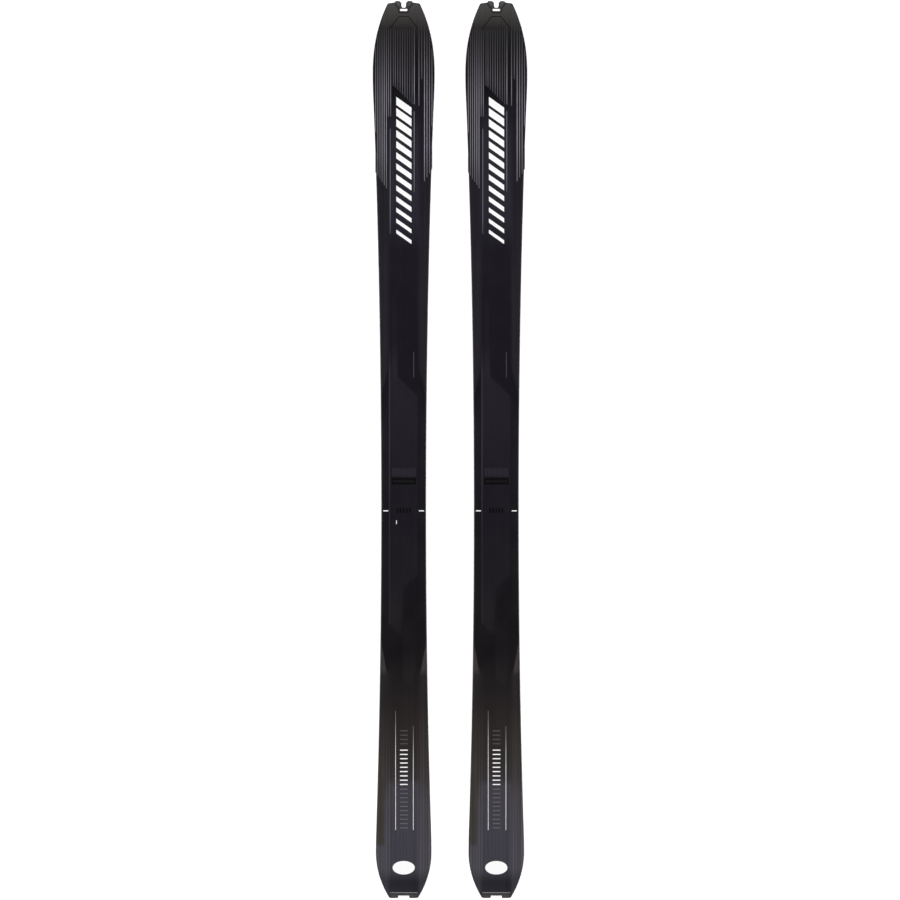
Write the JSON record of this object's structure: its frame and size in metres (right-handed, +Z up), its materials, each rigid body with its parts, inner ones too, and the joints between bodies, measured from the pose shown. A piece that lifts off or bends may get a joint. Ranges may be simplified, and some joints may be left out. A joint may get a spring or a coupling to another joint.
{
  "type": "ski-touring skis",
  "caption": "Pair of flat ski-touring skis without bindings: sidecut and cambered, with raised tips, bevelled top sheets, steel edges and skin notches at both ends.",
  "frame": {"origin": "on the ground, midway between the two skis and midway along them", "axes": "+Y along the skis towards the tips, +Z up from the ground through the top sheets, +X to the right with the tips ahead"},
  "size_m": [0.317, 1.84, 0.0546],
  "materials": {
    "topsheet": "satin, near black with fine light pinstripes",
    "base_sheet": "sintered polyethylene, stone ground",
    "edge_steel": "ground steel",
    "sidewall": "machined, satin black",
    "laminate": "cured carbon and glass cloth",
    "core_wood": "planed light wood",
    "stringer_wood": "planed hard wood",
    "damper_rubber": "thin rubber film",
    "plate_alloy": "rolled sheet",
    "insert_plastic": "moulded, fine texture",
    "spacer_plastic": "moulded",
    "cap_plastic": "moulded, fine texture"
  },
  "bodies": {
    "left_ski": {"left_base": "base_sheet", "left_edge_outer": "edge_steel", "left_edge_inner": "edge_steel", "left_lower_laminate": "laminate", "left_core": "core_wood", "left_core_stringers": "stringer_wood", "left_sidewall_outer": "sidewall", "left_sidewall_inner": "sidewall", "left_edge_dampers": "damper_rubber", "left_mounting_plate": "plate_alloy", "left_upper_laminate": "laminate", "left_topsheet": "topsheet", "left_tip_insert": "insert_plastic", "left_tip_spacer": "spacer_plastic", "left_tail_spacer": "spacer_plastic", "left_tail_cap": "cap_plastic"},
    "right_ski": {"right_base": "base_sheet", "right_edge_outer": "edge_steel", "right_edge_inner": "edge_steel", "right_lower_laminate": "laminate", "right_core": "core_wood", "right_core_stringers": "stringer_wood", "right_sidewall_outer": "sidewall", "right_sidewall_inner": "sidewall", "right_edge_dampers": "damper_rubber", "right_mounting_plate": "plate_alloy", "right_upper_laminate": "laminate", "right_topsheet": "topsheet", "right_tip_insert": "insert_plastic", "right_tip_spacer": "spacer_plastic", "right_tail_spacer": "spacer_plastic", "right_tail_cap": "cap_plastic"}
  },
  "joints": [
    {"name": "ski_glide", "type": "slide", "parent": "left_ski", "child": "right_ski", "axis": [0, 1, 0], "range_m": [-0.4, 0.4]}
  ]
}
